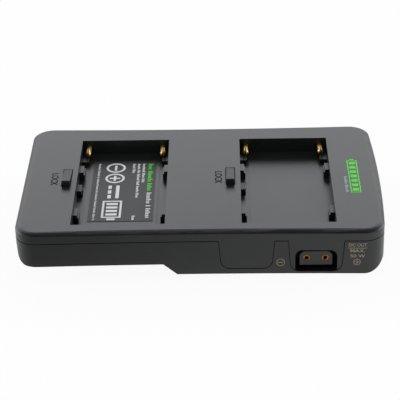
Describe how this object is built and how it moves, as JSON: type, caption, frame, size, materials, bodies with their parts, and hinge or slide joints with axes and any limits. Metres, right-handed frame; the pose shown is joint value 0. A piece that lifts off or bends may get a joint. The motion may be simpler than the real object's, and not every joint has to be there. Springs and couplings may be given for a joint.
{
  "type": "v-mount battery adapter",
  "caption": "Flat plate with side-by-side battery pockets, sprung lock buttons and a power socket, on a V-lock wedge",
  "frame": {"origin": "middle of the underside of the overall box, on the face of the V-lock wedge", "axes": "+X along the plate towards its thick end, +Y across it towards the battery contacts, +Z out of the battery side"},
  "size_m": [0.1532, 0.0962, 0.0252],
  "materials": {
    "shell_plastic": "fine matte texture, charcoal",
    "button_plastic": "fine matte texture, charcoal",
    "mount_plastic": "moulded matte black",
    "socket_plastic": "moulded satin black",
    "gold_plate": "polished gold plating",
    "contact_brass": "bare stamped brass",
    "spring_steel": "drawn wire",
    "screw_steel": "blackened steel",
    "circuit_board": "green solder mask",
    "transistor_case": "moulded black",
    "capacitor_can": "plain drawn can",
    "fuse_glass": "clear tube with bright caps",
    "lead_red": "soft insulation, red",
    "lead_black": "soft insulation, black",
    "label_film": "printed dark film"
  },
  "bodies": {
    "housing": {"top_cover": "shell_plastic", "bottom_cover": "shell_plastic", "v_lock_wedge": "mount_plastic", "v_terminal_block": "mount_plastic", "power_socket": "socket_plastic", "left_negative_pin": "gold_plate", "left_positive_pin": "gold_plate", "right_negative_pin": "gold_plate", "right_positive_pin": "gold_plate", "power_negative_contact": "gold_plate", "power_positive_contact": "gold_plate", "v_negative_contact": "contact_brass", "v_positive_contact": "contact_brass", "front_fuse_clip": "contact_brass", "rear_fuse_clip": "contact_brass", "left_lock_spring": "spring_steel", "right_lock_spring": "spring_steel", "housing_screws": "screw_steel", "v_lock_screws": "screw_steel", "board_screws": "screw_steel", "main_circuit_board": "circuit_board", "left_contact_board": "circuit_board", "right_contact_board": "circuit_board", "left_transistor": "transistor_case", "right_transistor": "transistor_case", "smoothing_capacitor": "capacitor_can", "fuse": "fuse_glass", "left_positive_lead": "lead_red", "right_positive_lead": "lead_red", "terminal_positive_lead": "lead_red", "left_negative_lead": "lead_black", "right_negative_lead": "lead_black", "terminal_negative_lead": "lead_black", "rating_label": "label_film"},
    "left_lock": {"left_lock_button": "button_plastic"},
    "right_lock": {"right_lock_button": "button_plastic"}
  },
  "joints": [
    {"name": "left_lock_press", "type": "slide", "parent": "housing", "child": "left_lock", "axis": [0, 0, -1], "range_m": [0, 0.0025], "stiffness_N_per_m": 300, "springref_m": -0.001, "deforming": ["left_lock_spring"]},
    {"name": "right_lock_press", "type": "slide", "parent": "housing", "child": "right_lock", "axis": [0, 0, -1], "range_m": [0, 0.0025], "stiffness_N_per_m": 300, "springref_m": -0.001, "deforming": ["right_lock_spring"]}
  ]
}
